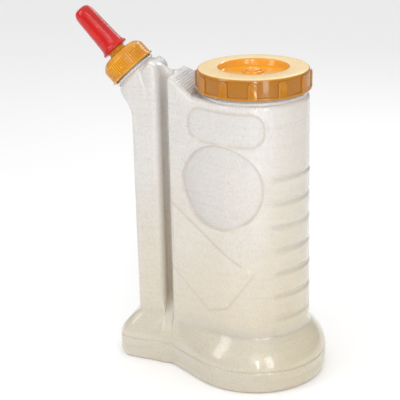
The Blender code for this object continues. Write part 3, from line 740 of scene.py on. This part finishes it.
def head(name, inset, end_s):
    """From the tube's section to a tilted circle at end_s along the feed neck's axis."""
    section = tube_section(inset + 0.4 * MM)
    radius = HEAD_R - inset
    middle_x = 0.5 * (TUBE_LEFT + TUBE_RIGHT)
    to_world = Matrix.Translation(NECK_AT) @ Matrix.Rotation(-NECK_TILT, 4, "Y")
    rings = []
    for k in range(HEAD_STEPS + 1):
        t = k / HEAD_STEPS
        ring = []
        for p in section:
            turn = math.atan2(p.y, p.x - middle_x)
            low = Vector((p.x + CHAMBER_X, p.y, HEAD_START))
            high = to_world @ Vector((radius * math.cos(turn), radius * math.sin(turn), end_s))
            point = low.lerp(high, t)
            # the outer side stays upright for longer before it leans out
            lean = mix(t, smoothstep(0.2, 1.0, t), max(0.0, -math.cos(turn)))
            point.x = mix(low.x, high.x, lean)
            ring.append(point)
        rings.append(ring)
    return skin(name, rings)


def thumb_ridges():
    """Rounded bars across the lower two thirds of the thumb rest."""
    (x0, z0), (x1, z1) = TOP_LINE[0], TOP_LINE[1]
    slope = math.atan2(z1 - z0, x0 - x1)
    bars = []
    for k in range(RIDGES):
        x = mix(x0 - 2.6 * MM, x1 + 4.2 * MM, k / (RIDGES - 1))
        half = -side_corner(chamber_radius(SHOULDER_Z), SIDE_ANGLE, x).y - 3.6 * MM
        clear_selection()
        place = (x + CHAMBER_X, 0, top_height(x) - 0.12 * MM)
        bpy.ops.mesh.primitive_cylinder_add(vertices=12, radius=RIDGE_R, depth=2 * half,
                                            rotation=(math.pi / 2, 0, 0), location=place)
        bars.append(settle(bpy.context.active_object))
    make_active(*bars)
    bpy.ops.object.join()
    print("thumb rest slopes", round(math.degrees(slope)), "degrees, with", len(bars), "ridges")
    return bpy.context.active_object


lid_neck = lathe("lid_neck", LID_NECK, 96)
combine(lid_neck, thread("lid_neck_thread", 40.3, 42.4, 245.6, 5.0, 1.14, 0.03), "UNION")
onto_chamber(lid_neck)
feed_neck = lathe("feed_neck", FEED_NECK, 64)
combine(feed_neck, thread("feed_neck_thread", 15.9, 17.6, 2.6, 4.2, 1.2, -2.05), "UNION")
onto_neck(feed_neck)
print("necks:", len(lid_neck.data.polygons), len(feed_neck.data.polygons), "faces")

# %% [markdown]
# ## Hollowing the flask
# The inside is made as its own solid, a wall's thickness within the shell, and is cut out
# together with the mouth and the spout. The grip grooves and the relief don't show inside,
# as on the real flask, where they only thin the wall.
# %% Cut the inside out
def chamber_outline(z, inset):
    radius, end_x = chamber_radius(z) - inset, CHAMBER_END + inset
    last_turn = math.pi / 2 + SIDE_ANGLE
    half = [Vector((radius * math.cos(-last_turn * k / 40), radius * math.sin(-last_turn * k / 40)))
            for k in range(41)]
    corner = side_corner(radius, SIDE_ANGLE, end_x)
    rounded = round_corner(half[-1], corner, Vector((end_x, 0.0)), 3.5 * MM, 4)
    half += stretch_points(half[-1], rounded[0], 16) + rounded
    half += stretch_points(rounded[-1], Vector((end_x, 0.0)), 3) + [Vector((end_x, 0.0))]
    return mirror_outline(half)


def inside():
    """Everything that is empty: foot, chamber, tube, head, mouth and spout."""
    floor = PUSH_UP + WALL
    foot = [level(flask_outline(0.0, RIM_ROLL + 8.0 * MM, False), floor),
            level(flask_outline(0.0, RIM_ROLL + 1.0 * MM, False), floor + 2.0 * MM)]
    for z in (10.0, 18.0, 25.0, 31.0, 36.0, 41.0, 52.0):
        foot.append(level(flask_outline((z + 0.8) * MM, WALL, False), z * MM))
    inset = WALL + GROOVE_DEPTH
    chamber = [level(chamber_outline(z * MM, inset), z * MM) for z in (47, 120)]
    section = tube_section(WALL + 0.25 * MM)
    tube = [level(section, z * MM) for z in (47, 200)] + [draped(section, 3.0 * MM)]
    for k in range(5):
        a = 0.5 * math.pi * k / 4
        chamber.append(draped(chamber_outline(SHOULDER_Z, inset + 3.0 * MM * (1.0 - math.cos(a))),
                              WALL + 3.0 * MM * (1.0 - math.sin(a))))
    hollow = skin("foot_inside", foot)
    combine(hollow, skin("chamber_inside", chamber), "UNION")
    combine(hollow, skin("tube_inside", tube), "UNION")
    combine(hollow, head("head_inside", WALL, -8.0 * MM), "UNION")
    mouth = onto_chamber(lathe("mouth", [(38.6, 232.0), (38.6, 260.0)], 96))
    spout = onto_neck(lathe("spout", [(13.8, -12.0), (13.8, 15.0)], 64))
    for tool in (mouth, spout):
        combine(hollow, tool, "UNION")
    return hollow


def mark_relief_step_shade(obj):
    """Store how near each point is to a step of the relief, where a darker line of painted shade is
    laid.
    """
    values = []
    last_turn = math.pi / 2 + SIDE_ANGLE
    for vert in obj.data.vertices:
        x, y, z = vert.co.x - CHAMBER_X, -abs(vert.co.y), vert.co.z / MM
        radius = chamber_radius(vert.co.z)
        turn = -math.atan2(y, x)
        value = 0.0
        if RELIEF_LOW < z < RELIEF_TOP and x > CHAMBER_END:
            along = x * math.sin(-last_turn) - y * math.cos(-last_turn)
            s = (last_turn - turn) * radius / MM if turn < last_turn else -along / MM
            out = math.hypot(x, y) if turn < last_turn else (
                x * math.cos(-last_turn) + y * math.sin(-last_turn))
            if out > radius - 2.8 * MM:
                nearest = min(abs(long_recess(s, z)), abs(oval_recess(s, z)),
                              abs(slanted_band(s, z)) + 0.3)
                value = 1.0 - smoothstep(0.3, 1.3, nearest)
        values.append(value)
    layer = obj.data.attributes.new("mould_edge", "FLOAT", "POINT")
    layer.data.foreach_set("value", values)
    print("points on the relief's edges:", sum(v > 0.5 for v in values))


head_block = head("head_block", 0.0, -6.0 * MM)
for extra in (lid_neck, feed_neck, thumb_ridges()):
    combine(head_block, extra, "UNION")
combine(flask, head_block, "UNION")
combine(flask, inside(), "DIFFERENCE")
flask.name = "bottle_flask"
polish(face_outwards(flask), FLASK, 32.0)
mark_relief_step_shade(flask)
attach(flask, "bottle")
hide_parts("bottle")

# %% [markdown]
# ## The screw lid
# The lid is turned from one profile: skirt, rounded shoulder, flat top, and the dish with
# its small raised ring. Twelve round-topped lugs give a wet hand some hold. A lug is a
# block whose upper corners are bevelled into an arch, and it is made once, copied round
# the skirt and joined to it.
# %% Lid body and lugs
LID_BODY = [(43.2, 242.0), (45.6, 242.0), (46.1, 242.25), (46.3, 242.7), (46.3, 243.3),
            (46.1, 243.8), (45.4, 244.1), (44.9, 244.5), (44.75, 255.6), (44.6, 256.6),
            (44.1, 257.6), (43.4, 258.2), (42.5, 258.45), (41.5, 258.5), (28.9, 258.5),
            (28.3, 258.35), (27.9, 258.0), (27.6, 257.3), (27.2, 254.4), (26.8, 253.7),
            (26.0, 253.4), (9.0, 253.4), (8.5, 253.6), (8.3, 254.0), (8.1, 255.2), (7.9, 255.5),
            (7.5, 255.6), (6.9, 255.6), (6.5, 255.45), (6.3, 255.1), (6.3, 254.4), (2.6, 254.4),
            (2.6, 251.4), (28.7, 251.4), (29.3, 256.4), (43.2, 256.4), (43.2, 242.0)]
LUGS, LUG_TURN, LUG_ARCH = 12, math.radians(-76.0), 3.2 * MM


def select_edges(obj, wanted):
    """Edit mode with only the edges that wanted(middle, direction) accepts."""
    make_active(obj)
    bpy.ops.object.mode_set(mode="EDIT")
    bpy.ops.mesh.select_mode(type="EDGE")
    bpy.ops.mesh.select_all(action="DESELECT")
    bm = bmesh.from_edit_mesh(obj.data)
    for edge in bm.edges:
        a, b = edge.verts[0].co, edge.verts[1].co
        edge.select_set(wanted((a + b) / 2, (b - a).normalized()))
    bmesh.update_edit_mesh(obj.data)


def lid_lug():
    """One lug on the +X side: an arched block with softened edges."""
    clear_selection()
    bpy.ops.mesh.primitive_cube_add(size=1, location=(44.9 * MM, 0, 249.3 * MM))
    lug = bpy.context.active_object
    lug.scale = (2.6 * MM, 7.4 * MM, 13.0 * MM)
    settle(lug)
    select_edges(lug, lambda middle, along: abs(along.x) > 0.9 and middle.z > 250 * MM)
    bpy.ops.mesh.bevel(offset=LUG_ARCH, segments=8, affect="EDGES")
    bpy.ops.object.mode_set(mode="OBJECT")
    select_edges(lug, lambda middle, along: middle.x > 46.1 * MM and abs(along.x) < 0.1
                 and middle.z > 243 * MM)
    bpy.ops.mesh.bevel(offset=0.7 * MM, segments=4, affect="EDGES")
    bpy.ops.object.mode_set(mode="OBJECT")
    return lug


def copy_around(obj, count, first_turn):
    """Copies with their own meshes, spread evenly about Z and joined."""
    copies = []
    for k in range(count):
        copy = obj.copy()
        copy.data = obj.data.copy()
        bpy.context.scene.collection.objects.link(copy)
        copy.rotation_euler = (0, 0, first_turn + 2 * math.pi * k / count)
        copies.append(settle(copy))
    bpy.data.objects.remove(obj, do_unlink=True)
    make_active(*copies)
    bpy.ops.object.join()
    return bpy.context.active_object


lid = lathe("lid_cap", LID_BODY, 144)
combine(lid, thread("lid_thread", 43.7, 41.4, 244.05, 5.0, 0.95, 0.15 * 2 * math.pi), "UNION")
combine(lid, copy_around(lid_lug(), LUGS, LUG_TURN), "UNION")
polish(onto_chamber(face_outwards(lid)), AMBER, 32.0)
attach(lid, "lid")
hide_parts("screw_lid")

# %% [markdown]
# ## Vent plug, liner and washer
# The glossy button in the middle of the dish is a push-in plug: a domed cap with a thumb
# groove on a thin stem. The liner and the washer are plain flat rings, so the packed
# solids stay and only get a soft seal's finish.
# %% Vent plug and seals
VENT = [(1.2, 250.0), (1.75, 250.05), (2.35, 251.0), (2.35, 254.7), (5.6, 254.7), (5.8, 254.9),
        (5.8, 255.9), (5.65, 256.3), (5.2, 256.75), (4.4, 257.1), (3.9, 257.05), (3.5, 256.8),
        (2.9, 256.75), (2.5, 257.05), (1.6, 257.3), (0.4, 257.45)]
vent = lathe("vent_button", VENT, 48)
polish(onto_chamber(vent), AMBER, 40.0)
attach(vent, "vent")
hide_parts("vent_plug")
for node in ("lid_liner", "collar_washer"):
    for slot in frame["nodes"][node].material_slots:
        slot.material = SEAL
    print(node, "keeps its packed shape")

# %% [markdown]
# ## The knurled collar
# Fine upright ribs run around the collar between a plain bead and a domed top. The ribs
# are made on the lathe's own faces: every third column of the skirt is picked by its
# direction and pushed outwards.
# %% Collar with ribs
COLLAR_BODY = [(18.3, 0.0), (20.2, 0.0), (20.6, 0.25), (20.7, 0.6), (20.7, 1.2), (20.5, 1.6),
               (19.7, 1.9), (19.55, 2.3), (19.5, 11.4), (19.3, 12.3), (18.8, 13.2), (16.6, 15.6),
               (15.4, 16.5), (13.8, 17.1), (12.0, 17.45), (9.6, 17.6), (8.6, 17.75), (7.9, 18.2),
               (7.6, 19.0), (7.6, 32.6), (7.4, 33.3), (6.7, 34.0), (5.0, 34.0), (4.8, 33.8),
               (4.8, 15.0), (12.2, 15.0), (13.6, 13.6), (13.6, 11.6), (18.3, 11.6), (18.3, 0.0)]
RIBS, RIB_HEIGHT = 60, 0.5 * MM


def rib_faces(obj, low, high, radius):
    """Edit mode with every third column of the skirt's faces selected; sizes in mm."""
    make_active(obj)
    bpy.ops.object.mode_set(mode="EDIT")
    bpy.ops.mesh.select_mode(type="FACE")
    bpy.ops.mesh.select_all(action="DESELECT")
    bm = bmesh.from_edit_mesh(obj.data)
    for face in bm.faces:
        middle = face.calc_center_median()
        column = int((math.atan2(middle.y, middle.x) / (2 * math.pi) % 1.0) * RIBS * 3)
        on_skirt = low * MM < middle.z < high * MM and middle.xy.length > radius * MM
        face.select_set(on_skirt and column % 3 == 0)
    bmesh.update_edit_mesh(obj.data)


collar = lathe("collar_cap", COLLAR_BODY, RIBS * 3)
rib_faces(collar, 2.4, 11.3, 19.3)
bpy.ops.mesh.extrude_faces_move(TRANSFORM_OT_shrink_fatten={"value": -RIB_HEIGHT})
bpy.ops.transform.resize(value=(1, 1, 0.96), center_override=(0, 0, 6.9 * MM))
bpy.ops.object.mode_set(mode="OBJECT")
combine(collar, thread("collar_thread", 18.8, 17.0, 2.32, 4.2, 1.0, 0.1 * 2 * math.pi), "UNION")
polish(onto_neck(face_outwards(collar)), GOLD, 32.0)
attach(collar, "collar")
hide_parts("nipple_collar")

# %% [markdown]
# ## The red teat
# The teat is one hollow rubber moulding: a flared lip that hugs the spigot, a barrel that
# tapers slightly, and a blunt round tip with a small milk hole. Its wall is thick, so the
# inside is part of the same profile.
# %% Teat
TEAT = [(7.8, 21.2), (10.6, 21.2), (11.2, 21.45), (11.5, 22.0), (11.45, 22.6), (11.1, 23.1),
        (10.5, 23.8), (10.0, 24.8), (9.65, 26.4), (9.45, 28.6), (8.95, 40.0), (8.35, 55.0),
        (8.2, 57.6), (7.95, 59.4), (7.5, 61.0), (6.8, 62.4), (5.8, 63.5), (4.4, 64.2),
        (2.8, 64.45), (1.5, 64.5), (1.15, 64.3), (1.1, 63.9), (1.1, 62.5), (4.6, 61.7),
        (6.0, 59.1), (6.8, 38.0), (7.8, 35.0), (7.8, 21.2)]
teat = lathe("rubber_teat", TEAT, 72)
polish(onto_neck(teat), RED, 40.0)
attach(teat, "nipple")
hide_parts("nipple")

# %% [markdown]
# ## Floor, lights and camera
# A pale floor meets a white background. Large soft lamps stand left, right and in front, and
# narrow ones in front and above add streaks, so the shadow stays faint.
# %% Stage and camera
LOOK_FROM = Vector((0.2320 + CHAMBER_X, -0.8667, 0.4695))
LOOK_AT = Vector((-0.0466 + CHAMBER_X, 0.0, 0.1427))
LENS, ROLL = 104.8, -0.0227
ROOM_DARK, ROOM_BRIGHT, ROOM_RISE = 0.25, 0.90, 0.55


def studio_floor():
    clear_selection()
    bpy.ops.mesh.primitive_plane_add(size=6.0, location=(0, 0, -0.0002))
    floor = bpy.context.active_object
    floor.name = "studio_floor"
    settle(floor)
    pale = Finish("pale_floor", Roughness=0.8)
    pale.paint(pale.blend(pale.noise(3.0, 2.0) * 0.3, rgb(252, 252, 252), rgb(248, 248, 248)))
    floor.data.materials.append(pale.material)


def softbox(name, place, target, size, power):
    lamp = bpy.data.lights.new(name, "AREA")
    lamp.shape, lamp.size, lamp.size_y, lamp.energy = "RECTANGLE", size[0], size[1], power
    obj = bpy.data.objects.new(name, lamp)
    bpy.context.scene.collection.objects.link(obj)
    obj.location = place
    obj.rotation_euler = (Vector(target) - Vector(place)).to_track_quat("-Z", "Y").to_euler()


def camera():
    view = bpy.data.cameras.new("view")
    view.lens, view.sensor_width, view.clip_end = LENS, 36.0, 20.0
    eye = bpy.data.objects.new("view", view)
    bpy.context.scene.collection.objects.link(eye)
    turn = (LOOK_AT - LOOK_FROM).to_track_quat("-Z", "Y").to_matrix().to_4x4()
    eye.matrix_world = Matrix.Translation(LOOK_FROM) @ turn @ Matrix.Rotation(ROLL, 4, "Z")
    bpy.context.scene.camera = eye


def soft_room():
    """Bright above, darker towards the horizon, and plain white where the camera looks."""
    world = bpy.data.worlds.new("soft_room")
    world.use_nodes = True
    tree = world.node_tree
    glow = tree.nodes["Background"]
    glow.inputs["Color"].default_value = (1.0, 1.0, 1.0, 1.0)
    where = tree.nodes.new("ShaderNodeTexCoord")
    split = tree.nodes.new("ShaderNodeSeparateXYZ")
    rise = tree.nodes.new("ShaderNodeMapRange")
    path = tree.nodes.new("ShaderNodeLightPath")
    seen = tree.nodes.new("ShaderNodeMath")
    seen.operation = "MAXIMUM"
    for name, value in (("From Min", 0.0), ("From Max", ROOM_RISE),
                        ("To Min", ROOM_DARK), ("To Max", ROOM_BRIGHT)):
        rise.inputs[name].default_value = value
    tree.links.new(where.outputs["Generated"], split.inputs[0])
    tree.links.new(split.outputs["Z"], rise.inputs["Value"])
    tree.links.new(rise.outputs["Result"], seen.inputs[0])
    tree.links.new(path.outputs["Is Camera Ray"], seen.inputs[1])
    tree.links.new(seen.outputs[0], glow.inputs["Strength"])
    bpy.context.scene.world = world


studio_floor()
softbox("key_left", (-0.75, -0.65, 0.75), (-0.02, 0, 0.13), (0.35, 0.8), 2.8)
softbox("fill_right", (0.80, -0.95, 0.45), (-0.02, 0, 0.13), (0.25, 0.9), 3.4)
softbox("front_window", (0.42, -1.25, 0.85), (0.02, 0, 0.13), (0.45, 0.7), 1.4)
softbox("front_strip", (0.45, -1.2, 0.40), (-0.05, 0, 0.13), (0.08, 0.7), 2.1)
softbox("top_strip", (0.30, -0.55, 0.95), (0.05, 0, 0.13), (0.6, 0.05), 0.9)
softbox("back_window", (0.15, 0.75, 0.75), (0.04, 0, 0.25), (0.5, 0.12), 1.2)
soft_room()
bpy.context.scene.view_settings.view_transform = "Standard"
camera()
print("stage ready")
